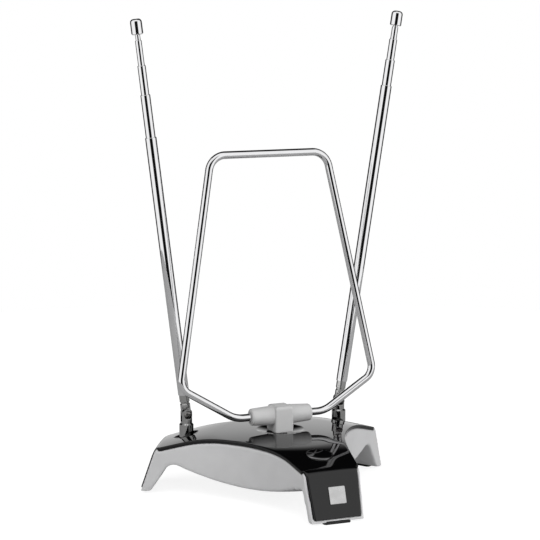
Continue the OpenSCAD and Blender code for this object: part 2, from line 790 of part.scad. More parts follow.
// Collar, fork and stud, turned from one bar
module rod_base(s) color(nickel) at_pivot(s) difference() {
    union() {
        translate([0, 0, -pivot_z]) rotate_extrude() polygon([[0, stud_z], [stud_r, stud_z],
            [stud_r, bearing_z[1]], [collar_r, bearing_z[1]],
            [collar_r, fork_shoulder_z - 0.8], [collar_r - 0.8, fork_shoulder_z],
            [fork_r, fork_shoulder_z], [fork_r, pivot_z], [0, pivot_z]]);
        intersection() {
            translate([0, 0, -0.5]) cylinder(r = fork_r, h = fork_top + 0.5);
            rotate([90, 0, 0]) cylinder(r = fork_top, h = far, center = true);
        }
    }
    translate([-far / 2, -cheek_gap / 2, -fork_r - 0.6]) cube([far, cheek_gap, far]);
    rotate([90, 0, 0]) cylinder(r = hinge_r + 0.02, h = far, center = true);
    translate([-far / 2, -far - head_seat, -hinge_head_r - 0.2]) cube([far, far, far]);
}

module rod_nut(s) color(nickel) at_rod(s) translate([0, 0, nut_z]) difference() {
    union() {
        cylinder(r = stud_r + 1.6, h = nut_h, $fn = 6);
        translate([0, 0, nut_h - 0.5]) cylinder(r = collar_r + 1.4, h = 0.5);
    }
    translate([0, 0, -1]) cylinder(r = stud_r, h = far);
}

// A spring leaf that bears on the stud from the board
leaf_t = 0.4;
module contact(s) color([0.78, 0.62, 0.30]) at_rod(s) {
    z0 = board_z + board_t;
    gap = stud_z - drop_fit / 2 - z0;
    rotate([90, 0, 0]) linear_extrude(3, center = true) polygon([[-12, z0], [-6.6, z0],
        [-1.4, z0 + gap - leaf_t], [1.6, z0 + gap - leaf_t], [1.6, z0 + gap], [-1.6, z0 + gap],
        [-6.8, z0 + leaf_t], [-12, z0 + leaf_t]]);
}

module hinge_screw(s) color([0.52, 0.50, 0.46]) at_pivot(s) rotate([90, 0, 0]) difference() {
    union() {
        translate([0, 0, -fork_r + 0.3]) cylinder(r = hinge_r, h = head_seat + fork_r - 0.3);
        translate([0, 0, head_seat]) intersection() {
            cylinder(r = hinge_head_r, h = head_h);
            translate([0, 0, head_h - 3]) sphere(r = 3);
        }
    }
    for (a = [45, 135]) rotate([0, 0, a])
        translate([-1.4, -0.3, head_seat + 0.7]) cube([2.8, 0.6, far]);
}

// Tongue and ferrule, on which the largest tube is crimped
ferrule_r = 3.1;
tongue_r = 2.9;
ferrule_up = 5.1;
module ferrule(s) color(nickel) along_rod(s) difference() {
    union() {
        intersection() {
            cylinder(r = ferrule_r, h = 2 * ferrule_up, center = true);
            union() {
                rotate([90, 0, 0]) cylinder(r = tongue_r, h = tongue_t, center = true);
                translate([-far / 2, -tongue_t / 2, 0]) cube([far, tongue_t, far]);
            }
        }
        rotate_extrude() polygon([[0, ferrule_up - 0.6], [ferrule_r - 0.5, ferrule_up - 0.6],
            [ferrule_r, ferrule_up], [ferrule_r, ferrule_up + 1.6], [ferrule_r - 0.4, ferrule_up + 2],
            [ferrule_r - 0.4, ferrule_up + 2.8], [ferrule_r, ferrule_up + 3.2],
            [ferrule_r, tube_start], [tube_r - tube_wall, tube_start],
            [tube_r - tube_wall, tube_start + 7], [0, tube_start + 7]]);
    }
    rotate([90, 0, 0]) cylinder(r = hinge_r + turn_fit, h = far, center = true);
}

// A tube with a rolled lip on top and, inside another, a flared foot
module rod_tube(s, k) color(chrome) {
    r = tube_radius(k);
    bore = r - tube_wall;
    lip = k < 5 ? tube_radius(k + 1) + turn_fit : bore;
    top = tube_top(s, k) + (k == 5 ? cap_grip : 0);
    foot = k == 1 ? r : r + slide_fit - turn_fit;
    low = top - tube_length(s, k);
    along_rod(s) rotate_extrude() polygon([[bore, low], [foot, low], [foot, low + 6], [r, low + 6.5],
        [r, top - 0.5], [r - 0.25, top], [lip, top], [lip, top - 1], [bore, top - 1.4]]);
}

cap_grip = 5;
module tip_cap(s) color(chrome) along_rod(s) translate([0, 0, tube_top(s, 5)]) difference() {
    rotate_extrude() polygon([[0, 0.1], [cap_r - 0.5, 0.1], [cap_r, 0.6], [cap_r, cap_h - 2.4],
        each arc([cap_r - 2.2, cap_h - 2.2], 2.2, 0, 90, 6), [0, cap_h]]);
    cylinder(r = tube_radius(5), h = cap_grip);
}

module left_rod_base() rod_base(-1);
module left_rod_nut() rod_nut(-1);
module left_contact() contact(-1);
module left_hinge_screw() hinge_screw(-1);
module left_ferrule() ferrule(-1);
module left_tube_1() rod_tube(-1, 1);
module left_tube_2() rod_tube(-1, 2);
module left_tube_3() rod_tube(-1, 3);
module left_tube_4() rod_tube(-1, 4);
module left_tube_5() rod_tube(-1, 5);
module left_cap() tip_cap(-1);
module right_rod_base() rod_base(1);
module right_rod_nut() rod_nut(1);
module right_contact() contact(1);
module right_hinge_screw() hinge_screw(1);
module right_ferrule() ferrule(1);
module right_tube_1() rod_tube(1, 1);
module right_tube_2() rod_tube(1, 2);
module right_tube_3() rod_tube(1, 3);
module right_tube_4() rod_tube(1, 4);
module right_tube_5() rod_tube(1, 5);
module right_cap() tip_cap(1);

base_housing();
top_cover();
front_foot();
left_foot();
right_foot();
name_plate();
power_button();
switch_plunger();
push_switch();
circuit_board();
shield_can();
aerial_socket();
power_socket();
ballast_plate();
housing_screws();
loop_tube();
loop_hub();
hub_screw();
hub_washer();
left_rod_base();
left_rod_nut();
left_contact();
left_hinge_screw();
left_ferrule();
left_tube_1();
left_tube_2();
left_tube_3();
left_tube_4();
left_tube_5();
left_cap();
right_rod_base();
right_rod_nut();
right_contact();
right_hinge_screw();
right_ferrule();
right_tube_1();
right_tube_2();
right_tube_3();
right_tube_4();
right_tube_5();
right_cap();
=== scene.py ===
"""Looks of an indoor television antenna: a three-legged base, a tilting loop and two telescopic rods.

Sizes are in millimetres, angles in radians unless a comment says degrees, and piece() brings a finished
mesh to metres.
"""
import math

import bmesh
import bpy
from mathutils import Matrix, Vector


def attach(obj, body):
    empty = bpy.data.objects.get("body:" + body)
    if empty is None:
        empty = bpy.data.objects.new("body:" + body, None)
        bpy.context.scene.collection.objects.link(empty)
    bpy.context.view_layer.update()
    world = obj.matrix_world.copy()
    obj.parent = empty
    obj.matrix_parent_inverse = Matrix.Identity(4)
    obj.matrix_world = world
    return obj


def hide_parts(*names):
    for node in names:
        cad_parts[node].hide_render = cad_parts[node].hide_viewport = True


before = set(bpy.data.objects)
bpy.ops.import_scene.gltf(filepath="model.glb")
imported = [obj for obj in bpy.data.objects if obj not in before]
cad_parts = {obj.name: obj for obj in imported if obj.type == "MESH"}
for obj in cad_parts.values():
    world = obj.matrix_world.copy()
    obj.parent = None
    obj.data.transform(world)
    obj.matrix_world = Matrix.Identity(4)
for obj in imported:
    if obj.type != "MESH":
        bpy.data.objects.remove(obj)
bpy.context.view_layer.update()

MM = 0.001
# Points closer than this are one
MERGE = 1e-4
# Lengths for cuts: above the base, through a wall, across the whole base and across one leg
TALL = 60.0
THROUGH = 20.0
WIDE = 400.0
LEG_WIDE = 70.0

# The base's outline seen from above

FRONT, RIGHT, LEFT = range(3)
LEGS = (FRONT, RIGHT, LEFT)
FRONT_REACH = 82.5
SIDE_REACH = 87.0
LEG_REACH = [FRONT_REACH, SIDE_REACH, SIDE_REACH]
LEG_TURN = [math.radians(a) for a in (-90, 30, 150)]
LEG_FLARE = math.radians(8.8)
WAIST = 39.0
SIDE_R = 110.0
# Two legs' sectors meet at this distance from the middle
SEAM_A = WAIST / 2

# The leaning end faces, the feet and their arches

FOOT_Z = 1.2
FOOT_DEPTH = 6.8
FOOT_LEAN = math.radians(33.5)
END_LEAN = math.radians(19.3)
END_ROUND = 6.0
ARCH_Z = 18.9
ARCH_R = 7.0
ARCH_SLOPE = math.radians(23.3)
# Depth of the foot, lean of its inner face and radius of its arch
SIDE_ARCH = (FOOT_DEPTH, FOOT_LEAN, ARCH_R)
ARCH_OF_LEG = [(5.8, math.radians(20), 3.5), SIDE_ARCH, SIDE_ARCH]
LEGS_Y = FRONT_REACH - FOOT_DEPTH / 2
MIDDLE = Matrix.Translation((0, LEGS_Y, 0))

# The crown of the cover: a flat dome, a shoulder and a straight slope

TOP_Z = 38.6
CROWN_R = 700.0
SHOULDER_AT = 40.0
SHOULDER_R = 90.0
ROOF_SLOPE = math.radians(16.7)
COVER_T = 2.2
SEAM = 0.15
RIM_R = 0.5

# The cover's panel on each end face, between the housing's lips

PANEL_INSET = 1.7
PANEL_PROUD = 0.8
LIP_H = 1.9

# The grid of the cover's skin: rows out to the seam, along the leg, over the bend and down the end face

MIDDLE_ROWS = 13
LEG_ROWS = 34
BEND_ROWS = 8
END_ROWS = 8
BEND_FROM = MIDDLE_ROWS + LEG_ROWS
END_FROM = BEND_FROM + BEND_ROWS + 1
PANEL_COLUMNS = 20
COLUMNS = PANEL_COLUMNS + 2
# The outer columns keep the panel's inset past this distance
INSET_FROM = 50.0

# The housing's belly, wells and soft edges

BELLY_Z = 5.0
BELLY_R = 165.0
BELLY_CUT = 66.0
ROOF_REACH = 96
LATHE_STEPS = 120
SCREW_AT = 40.0
SCREW_WELL = (3.0, 12.9)
SOCKET_Z = 28.6
SOCKET_L = 80.0
# Place along X and radius of each socket's hole
SOCKETS = ((-10.0, 5.75), (10.0, 4.25))
# Radius and floor of the wells under the hub's stem and the rods' collars
STEM_WELL = (5.2, 22.0)
COLLAR_WELL = (6.2, 24.0)
MOULD_VOXEL = 0.69
MOULD_PASSES = 4
# Edges this far under the roof are rounded by more passes, apart from the lips
LOW_EDGES = 8.0
LOW_PASSES = 12
LIP_DEPTH = 4.5
LEG_HALF = 30.0
LIP_BLOCK_W = 50.0
LIP_BLOCK_Z = (10.0, 50.0)

# The button and the bare plate

BUTTON_AT = 54.3
BUTTON_R = 8.3
BUTTON_H = 4.4
BUTTON_DISH = 1.1
BUTTON_SINK = 0.3
BUTTON_RIM = 0.45
BUTTON_FLAT = 0.7
BUTTON_GAP = 0.2
BUTTON_WELL = (0.6, 9.0)
PLATE_W = 10.5
PLATE_H = 10.2
PLATE_T = 0.5
PLATE_X = 1.2
PLATE_Z = 16.0
PLATE_CORNER = 0.6
PLATE_EDGE = 0.14

# The hub and the loop

HUB_BACK = 3.9
HUB_Y = LEGS_Y + HUB_BACK
HUB_DISH = (15.2, 2.4)
STEM_HOLE_R = 4.25
HUB_VOXEL = 0.3
HUB_PASSES = 6
LOOP_Z = 47.4
LOOP_R = 2.4
LOOP_SIDES = 32
LOOP_LEAN = math.radians(6.3)
LOOP_END = 4.4
LOOP_POINTS = [(29.9, 0.0), (64.6, 21.1), (38.15, 161.0)]
LOOP_BENDS = [18.0, 9.0, 11.0]
BEND_STEPS = 16

# The rods: lean in degrees, length of the largest tube, and how far each inner tube is drawn out

ROD_AT = 60.0
ROD_DISH = (8.6, 2.0)
PIVOT_Z = 46.8
COLLAR_R = 4.4
COLLAR_GAP = 0.05
RODS = {
    "left": {"side": -1, "lean": -7.2, "first": 160.8, "drawn": (25.9, 17.6, 15.1, 3.4)},
    "right": {"side": 1, "lean": 9.1, "first": 189.6, "drawn": (16.3, 13.1, 7.8, 0.5)},
}
TUBES = range(1, 6)
TUBE_R = 3.5
TUBE_STEP = 0.5
TUBE_WALL = 0.4
TUBE_START = 12.8
INNER_SHORTER = 10.0
CAP_GRIP = 5.0
ROLL_R = 0.3
ROLL_IN = 0.04

# The camera of the photograph, in metres and radians

CAMERA_AT = Vector((-0.47827, -1.02557, 0.31821))
CAMERA_YAW = math.radians(-23.04)
CAMERA_PITCH = math.radians(-8.51)
FOCAL_PX = 2000.0
IMAGE_PX = 540.0
SENSOR = 36.0

# The studio's light bands, in degrees from the way the camera looks: each starts and ends softly

BEHIND_SIDE = (14, 22)
BEHIND_RISE = (11, 31)
SCREENS_SIDE = (66, 94)
SCREENS_RISE = (52, 66)
OVER_SIDE = (85, 125)
OVER_RISE = (48, 60)
GAP_RISE = (30, 50)
GAP_TURN = math.radians(-4)
GAP_HALF = math.radians(24)
GAP_BLUR = math.radians(9)
DARKEST = 0.006

# The floor, in metres: its share of own glow for the camera, and its paper as seen and as reflected

FLOOR_AT = (0, 0.08, 0)
FLOOR_R = 0.7
GLOW_SHARE = 0.7
GLOW = 1.22
PAPER = (0.82, 0.82, 0.82, 1)
PAPER_REFLECTED = (0.42, 0.42, 0.42, 1)

# Name, place, target, diameter and power of each lamp, in metres and watts

LAMPS = [
    ("high lamp", (-0.4, -0.4, 1.1), (0, 0.08, 0.05), 0.8, 4.0),
    ("left lamp", (-1.3, 0.1, 0.35), (0, 0.08, 0.03), 0.6, 2.5),
    ("front lamp", (0.35, -1.3, 0.30), (0, 0.05, 0.02), 0.6, 7.5),
    ("back lamp", (0.7, 1.5, 0.7), (0, 0.08, 0.03), 0.7, 5.0),
    ("right lamp", (1.2, -0.5, 0.35), (0, 0.08, 0.03), 0.6, 4.0),
]


# Lines of the base

def crown_middle():
    """Centre of the shoulder's arc, as distance and height."""
    a = math.asin(SHOULDER_AT / CROWN_R)
    across_r = SHOULDER_AT - SHOULDER_R * math.sin(a)
    return across_r, TOP_Z - CROWN_R + (CROWN_R - SHOULDER_R) * math.cos(a)


SHOULDER_C = crown_middle()
ROOF_AT = (SHOULDER_C[0] + SHOULDER_R * math.sin(ROOF_SLOPE),
           SHOULDER_C[1] + SHOULDER_R * math.cos(ROOF_SLOPE))


def crown(r):
    """Height of the cover's top at the distance r from the middle."""
    if r < SHOULDER_AT:
        return TOP_Z - CROWN_R + math.sqrt(CROWN_R**2 - r * r)
    if r < ROOF_AT[0]:
        return SHOULDER_C[1] + math.sqrt(SHOULDER_R**2 - (r - SHOULDER_C[0]) ** 2)
    return ROOF_AT[1] - (r - ROOF_AT[0]) * math.tan(ROOF_SLOPE)


def crown_slope(r):
    """Angle by which the cover's top falls at the distance r."""
    return math.atan(crown(r - 0.5) - crown(r + 0.5))


def half_width(a):
    """Half the width of a leg's sector at the distance a along the leg."""
    c_a, c_t = (WAIST + SIDE_R) / 2, (WAIST + SIDE_R) * math.cos(math.pi / 6)
    touch_a, touch_t = c_a - SIDE_R * math.sin(LEG_FLARE), c_t - SIDE_R * math.cos(LEG_FLARE)
    if a <= SEAM_A:
        return a * math.tan(math.pi / 3)
    if a < touch_a:
        return c_t - math.sqrt(SIDE_R**2 - (a - c_a) ** 2)
    return touch_t - (a - touch_a) * math.tan(LEG_FLARE)


def belly(r):
    """Height of the housing's round underside at the distance r."""
    return BELLY_Z + BELLY_R - math.sqrt(BELLY_R**2 - r * r)


def end_face(reach, z):
    """Distance of a leg's leaning end face at the height z."""
    return reach - (z - FOOT_Z) * math.tan(END_LEAN)


def end_corner(reach):
    """Where the roof's line meets the end face of a leg, found by closing in on it."""
    a = reach - 10
    for _ in range(8):
        a = end_face(reach, crown(a))
    return a, crown(a)


def end_path(reach, d, rows):
    """The outer line over the rounding between the roof and the end face, drawn in by d."""
    k_a, k_z = end_corner(reach)
    turn = math.pi / 2 - END_LEAN - ROOF_SLOPE
    run = END_ROUND * math.tan(turn / 2)
    start = (k_a - run * math.cos(ROOF_SLOPE), k_z + run * math.sin(ROOF_SLOPE))
    c = (start[0] - END_ROUND * math.sin(ROOF_SLOPE), start[1] - END_ROUND * math.cos(ROOF_SLOPE))
    first = 90 - math.degrees(ROOF_SLOPE)
    return arc(c, END_ROUND - d, first, first - math.degrees(turn), rows)


# Building and placing pieces

def arc(c, r, start, end, steps):
    """Points of an arc in the plane of distance and height, angles in degrees."""
    turns = [math.radians(start + (end - start) * i / steps) for i in range(steps + 1)]
    return [(c[0] + r * math.cos(t), c[1] + r * math.sin(t)) for t in turns]


def smooth(bm, sharp):
    """Shades a mesh smooth and keeps the edges sharp that turn more than sharp degrees."""
    limit = math.radians(sharp)
    for f in bm.faces:
        f.smooth = True
    for e in bm.edges:
        e.smooth = len(e.link_faces) == 2 and e.calc_face_angle(0) < limit


def piece(name, bm, mat, body, node, sharp=30):
    """Turns a closed mesh in millimetres into a finished piece on a body, in place of a node."""
    bmesh.ops.remove_doubles(bm, verts=bm.verts, dist=MERGE)
    bmesh.ops.dissolve_degenerate(bm, edges=bm.edges, dist=MERGE / 10)
    bmesh.ops.recalc_face_normals(bm, faces=bm.faces)
    bmesh.ops.scale(bm, vec=(MM,) * 3, verts=bm.verts)
    smooth(bm, sharp)
    mesh = bpy.data.meshes.new(name)
    bm.to_mesh(mesh)
    bm.free()
    obj = bpy.data.objects.new(name, mesh)
    bpy.context.scene.collection.objects.link(obj)
    mesh.materials.append(mat)
    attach(obj, body)
    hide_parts(node)
    return obj


def node_mesh(node):
    """A merged copy of a node's mesh, in millimetres."""
    bm = bmesh.new()
    bm.from_mesh(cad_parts[node].data)
    bmesh.ops.scale(bm, vec=(1 / MM,) * 3, verts=bm.verts)
    bmesh.ops.remove_doubles(bm, verts=bm.verts, dist=10 * MERGE)
    return bm


def lathe(profile, steps=72):
    """A solid turned round the vertical axis from points of radius and height."""
    bm = bmesh.new()
    verts = [bm.verts.new((r, 0, z)) for r, z in profile]
    edges = [bm.edges.new(pair) for pair in zip(verts, verts[1:])]
    bmesh.ops.spin(bm, geom=verts + edges, axis=(0, 0, 1), angle=math.tau, steps=steps, use_merge=True)
    bmesh.ops.remove_doubles(bm, verts=bm.verts, dist=MERGE)
    return bm


def pin(r, low, high, steps=64):
    """A plain cylinder along the vertical axis."""
    return lathe([(0, low), (r, low), (r, high), (0, high)], steps)


def slab(size, at):
    """A plain block."""
    bm = bmesh.new()
    bmesh.ops.create_cube(bm, size=1, matrix=Matrix.Translation(at) @ Matrix.Diagonal((*size, 1)))
    return bm


def prism(points, low, high):
    """A prism over a flat outline."""
    bm = bmesh.new()
    face = bm.faces.new([bm.verts.new((x, y, low)) for x, y in points])
    top = bmesh.ops.extrude_face_region(bm, geom=[face])["geom"]
    lifted = [part for part in top if isinstance(part, bmesh.types.BMVert)]
    bmesh.ops.translate(bm, vec=(0, 0, high - low), verts=lifted)
    return outward(bm)


def dish(r, depth):
    """A ball that cuts a dish of that rim and depth at the origin."""
    ball = (r * r + depth * depth) / (2 * depth)
    bm = bmesh.new()
    bmesh.ops.create_uvsphere(bm, u_segments=160, v_segments=240, radius=ball,
                              matrix=Matrix.Translation((0, 0, ball - depth)))
    return bm


def moved(bm, matrix):
    """Places a mesh and gives it back."""
    bmesh.ops.transform(bm, matrix=matrix, verts=bm.verts)
    return bm


def outward(bm):
    """Turns all faces of a closed mesh outwards and gives it back."""
    bmesh.ops.recalc_face_normals(bm, faces=bm.faces)
    return bm


def bench_object(bm):
    """An object for modifiers to work on, from a mesh that is freed."""
    mesh = bpy.data.meshes.new("bench")
    bm.to_mesh(mesh)
    bm.free()
    obj = bpy.data.objects.new("bench", mesh)
    bpy.context.scene.collection.objects.link(obj)
    return obj


def worked(obj, *tools):
    """The mesh of an object with its modifiers. The object and its tools are cleared away."""
    bpy.context.view_layer.update()
    done = obj.evaluated_get(bpy.context.evaluated_depsgraph_get())
    result = bpy.data.meshes.new_from_object(done)
    out = bmesh.new()
    out.from_mesh(result)
    bpy.data.meshes.remove(result)
    for spent in (obj, *tools):
        mesh = spent.data
        bpy.data.objects.remove(spent)
        bpy.data.meshes.remove(mesh)
    return out


def solved(bm, *steps):
    """Applies cuts and joins, each a pair of operation and mesh."""
    base = bench_object(outward(bm))
    tools = []
    for operation, part in steps:
        tools.append(bench_object(outward(part)))
        cut = base.modifiers.new("cut", "BOOLEAN")
        cut.operation, cut.solver, cut.object = operation, "EXACT", tools[-1]
    return worked(base, *tools)


def softened(bm, voxel, passes):
    """Remeshes a solid on a fine grid and rounds its edges, as a mould does."""
    obj = bench_object(outward(bm))
    grid = obj.modifiers.new("grid", "REMESH")
    grid.mode, grid.voxel_size, grid.adaptivity = "VOXEL", voxel, 0
    ease = obj.modifiers.new("ease", "SMOOTH")
    ease.factor, ease.iterations = 0.5, passes
    return worked(obj)


def at_leg(leg, a=0):
    """From the frame of a leg, distance along and across, to the frame of the whole."""
    return MIDDLE @ Matrix.Rotation(LEG_TURN[leg], 4, "Z") @ Matrix.Translation((a, 0, 0))


def at_hub(z=0):
    return Matrix.Translation((0, HUB_Y, z))


def on_crown(leg, a):
    """On the cover's top at the distance a, square to its slope."""
    return at_leg(leg, a) @ Matrix.Translation((0, 0, crown(a))) @ Matrix.Rotation(crown_slope(a), 4, "Y")


def along_rod(facts):
    """At a rod's pivot, with the rod's line upwards."""
    pivot = (facts["side"] * ROD_AT * math.cos(math.pi / 6), LEGS_Y + ROD_AT / 2, PIVOT_Z)
    return Matrix.Translation(pivot) @ Matrix.Rotation(math.radians(facts["lean"]), 4, "Y")


# Materials

# Cells of colour variation in a metre, and the part of a noise that is spread over the whole variation
GRAIN = 90.0
NOISE_SPAN = (0.3, 0.7)
SCUFF_SPAN = (0.0, 0.02)
BUMP_DEPTH = 0.0001


def material(name, colour, rough, metal=0.0, vary=0.04, rough_vary=0.06, bump=0.02, bump_scale=1500.0,
             wear=0.0):
    """A procedural surface: colour variation, worn lines, roughness variation and fine bumps."""
    mat = bpy.data.materials.new(name)
    mat.use_nodes = True
    nodes, links = mat.node_tree.nodes, mat.node_tree.links
    surface = nodes["Principled BSDF"]
    where = nodes.new("ShaderNodeTexCoord").outputs["Object"]

    def noise(size, detail):
        texture = nodes.new("ShaderNodeTexNoise")
        texture.inputs["Scale"].default_value, texture.inputs["Detail"].default_value = size, detail
        links.new(where, texture.inputs["Vector"])
        return texture.outputs["Fac"]

    def spread(source, span, results):
        ramp = nodes.new("ShaderNodeMapRange")
        for socket, value in zip(("From Min", "From Max", "To Min", "To Max"), (*span, *results)):
            ramp.inputs[socket].default_value = value
        links.new(source, ramp.inputs["Value"])
        return ramp.outputs["Result"]

    tone = nodes.new("ShaderNodeMix")
    tone.data_type = "RGBA"
    links.new(spread(noise(GRAIN, 4), NOISE_SPAN, (0, 1)), tone.inputs[0])
    tone.inputs[6].default_value = (*[c * (1 - vary) for c in colour], 1)
    tone.inputs[7].default_value = (*[min(1, c * (1 + vary)) for c in colour], 1)
    polish = (max(0.01, rough - rough_vary), rough + rough_vary)
    roughness = spread(noise(GRAIN * 2.3, 5), NOISE_SPAN, polish)
    if wear:
        scuffs = nodes.new("ShaderNodeTexVoronoi")
        scuffs.feature = "DISTANCE_TO_EDGE"
        scuffs.inputs["Scale"].default_value = GRAIN * 3
        links.new(where, scuffs.inputs["Vector"])
        worn = spread(scuffs.outputs["Distance"], SCUFF_SPAN, (wear, 0))
        roughness = node_maths(nodes, links, "ADD", roughness, worn)
    relief = nodes.new("ShaderNodeBump")
    relief.inputs["Strength"].default_value = bump
    relief.inputs["Distance"].default_value = BUMP_DEPTH
    links.new(noise(bump_scale, 3), relief.inputs["Height"])
    links.new(tone.outputs[2], surface.inputs["Base Color"])
    links.new(roughness, surface.inputs["Roughness"])
    links.new(relief.outputs["Normal"], surface.inputs["Normal"])
    surface.inputs["Metallic"].default_value = metal
    return mat


def node_maths(nodes, links, operation, *values):
    """A sum of sockets and numbers in a node tree."""
    node = nodes.new("ShaderNodeMath")
    node.operation = operation
    for socket, value in zip(node.inputs, values):
        if isinstance(value, (int, float)):
            socket.default_value = value
        else:
            links.new(value, socket)
    return node.outputs[0]


gloss_black = material("gloss black", (0.0015, 0.0015, 0.0017), 0.025, vary=0.2, rough_vary=0.012, bump=0.006,
                       bump_scale=260, wear=0.01)
light_grey = material("light grey plastic", (0.465, 0.465, 0.47), 0.42, vary=0.03, bump=0.12, bump_scale=2600)
hub_grey = material("hub plastic", (0.47, 0.47, 0.47), 0.46, vary=0.03, bump=0.15, bump_scale=2400)
chrome = material("chrome", (0.86, 0.86, 0.87), 0.035, metal=1, vary=0.02, rough_vary=0.012, bump=0.002,
                  bump_scale=400)
loop_chrome = material("loop chrome", (0.84, 0.84, 0.85), 0.035, metal=1, vary=0.02, rough_vary=0.012,
                       bump=0.003, bump_scale=400)
nickel = material("nickel", (0.47, 0.47, 0.465), 0.05, metal=1, vary=0.05, rough_vary=0.02, bump=0.008,
                  bump_scale=900, wear=0.02)
crimped = material("crimped nickel", (0.52, 0.52, 0.515), 0.08, metal=1, vary=0.10, rough_vary=0.03, bump=0.8,
                   bump_scale=520, wear=0.05)
dark_steel = material("screw steel", (0.20, 0.195, 0.19), 0.16, metal=1, vary=0.15, rough_vary=0.05, bump=0.1)
plate_metal = material("plate metal", (0.62, 0.62, 0.62), 0.30, metal=1, vary=0.05, rough_vary=0.08,
                       bump=0.05)
rubber = material("rubber", (0.012, 0.012, 0.012), 0.7, vary=0.3, rough_vary=0.1, bump=0.4, bump_scale=1800)
black_plastic = material("black plastic", (0.02, 0.02, 0.02), 0.4, vary=0.2, bump=0.15)
board_green = material("board", (0.03, 0.16, 0.06), 0.35, vary=0.15, bump=0.2, bump_scale=800)
tin = material("tin", (0.66, 0.67, 0.68), 0.3, metal=1, vary=0.06, bump=0.08)
iron = material("ballast iron", (0.22, 0.22, 0.23), 0.5, metal=1, vary=0.2, bump=0.3)
bronze = material("contact bronze", (0.72, 0.50, 0.22), 0.25, metal=1, vary=0.08, bump=0.05)
ivory = material("plunger", (0.78, 0.75, 0.66), 0.4, vary=0.05, bump=0.08)


# Cover

def skin_rows(leg):
    """Rows of the skin from the middle to the end face's foot, as distance and, from the bend on, height."""
    reach = LEG_REACH[leg]
    bend = end_path(reach, 0, BEND_ROWS)
    roof = [SEAM_A * k / MIDDLE_ROWS for k in range(MIDDLE_ROWS)]
    roof += [SEAM_A + (bend[0][0] - SEAM_A) * k / LEG_ROWS for k in range(LEG_ROWS)]
    last, foot = bend[-1][1], FOOT_Z + LIP_H + SEAM
    heights = [last + (foot - last) * k / END_ROWS for k in range(1, END_ROWS + 1)]
    return [(a, None) for a in roof] + bend + [(end_face(reach, z), z) for z in heights]


def skin_point(rows, row, column):
    """Where a point of the grid lies, in the frame of the leg."""
    a, z = rows[row]
    w = half_width(a)
    panel = w - PANEL_INSET if a > INSET_FROM else w * PANEL_COLUMNS / COLUMNS
    t = panel * (2 * (column - 1) / PANEL_COLUMNS - 1)
    if column in (0, COLUMNS):
        t = math.copysign(w, t)
    if z is None:
        return a, t, crown(math.hypot(a, t))
    if row < END_FROM:
        bend_a = rows[BEND_FROM][0]
        z += crown(math.hypot(bend_a, t)) - crown(bend_a)
    return a, t, z


def cover_skin():
    """The outer skin of the cover: a grid bent over each leg, with no outer columns beside the panel."""
    skin = bmesh.new()
    for leg in LEGS:
        rows = skin_rows(leg)
        lengths = len(rows) - 1
        grid = bmesh.ops.create_grid(skin, x_segments=lengths, y_segments=COLUMNS, size=1)["verts"]
        spare = []
        for v in grid:
            row, column = round((v.co.x + 1) / 2 * lengths), round((v.co.y + 1) / 2 * COLUMNS)
            v.co = at_leg(leg) @ Vector(skin_point(rows, row, column))
            if row > BEND_FROM + 1 and column in (0, COLUMNS):
                spare.append(v)
        bmesh.ops.delete(skin, geom=spare, context="VERTS")
    bmesh.ops.remove_doubles(skin, verts=skin.verts, dist=10 * MERGE)
    bmesh.ops.dissolve_degenerate(skin, edges=skin.edges, dist=MERGE)
    outward(skin)
    if sum(f.normal.z for f in skin.faces) < 0:
        bmesh.ops.reverse_faces(skin, faces=skin.faces)
    return skin


def make_cover():
    """The skin with a wall and a fine rim, dished and bored for the hub, the rods and the button."""
    skin = bench_object(cover_skin())
    wall = skin.modifiers.new("wall", "SOLIDIFY")
    wall.thickness, wall.offset, wall.use_even_offset = COVER_T, -1, True
    rim = skin.modifiers.new("rim", "BEVEL")
    rim.width, rim.segments, rim.limit_method, rim.angle_limit = RIM_R, 3, "ANGLE", math.radians(50)
    tools = [moved(dish(*HUB_DISH), at_hub(crown(HUB_BACK))), moved(pin(STEM_HOLE_R, 0, TALL), at_hub()),
             moved(pin(BUTTON_R + BUTTON_GAP, -THROUGH, THROUGH), on_crown(FRONT, BUTTON_AT))]
    for leg in (RIGHT, LEFT):
        tools.append(moved(dish(*ROD_DISH), on_crown(leg, ROD_AT)))
        tools.append(moved(pin(COLLAR_R + COLLAR_GAP, 0, TALL), at_leg(leg, ROD_AT)))
    cover = solved(worked(skin), *[("DIFFERENCE", tool) for tool in tools])
    piece("cover", cover, gloss_black, "base", "top_cover", 28)


# Housing

def across(leg, section, width):
    """A section of distance and height, run across a leg."""
    return moved(prism(section, -width / 2, width / 2), at_leg(leg) @ Matrix.Rotation(math.pi / 2, 4, "X"))


def base_plan():
    """The outline of the three legs, seen from above."""
    points = []
    for leg in LEGS:
        steps = [SEAM_A + (LEG_REACH[leg] - SEAM_A) * k / 44 for k in range(45)]
        side = [(a, -half_width(a)) for a in steps] + [(a, half_width(a)) for a in reversed(steps)]
        points += [(at_leg(leg) @ Vector((a, t, 0))).xy for a, t in side[1:]]
    return points


def end_section(reach, d, outside):
    """The region inside, or outside, the line of the roof and the end face, drawn in by d."""
    path, run, under = end_path(reach, d, 10), 150, -2
    (a0, z0), beyond = path[0], reach + TALL
    foot = (reach - d / math.cos(END_LEAN) + (FOOT_Z - under) * math.tan(END_LEAN), under)
    back = (a0 - run * math.cos(ROOF_SLOPE), z0 + run * math.sin(ROOF_SLOPE))
    if outside:
        return [back] + path + [foot, (beyond, under), (beyond, back[1])]
    return [back] + path + [foot, (back[0], under)]


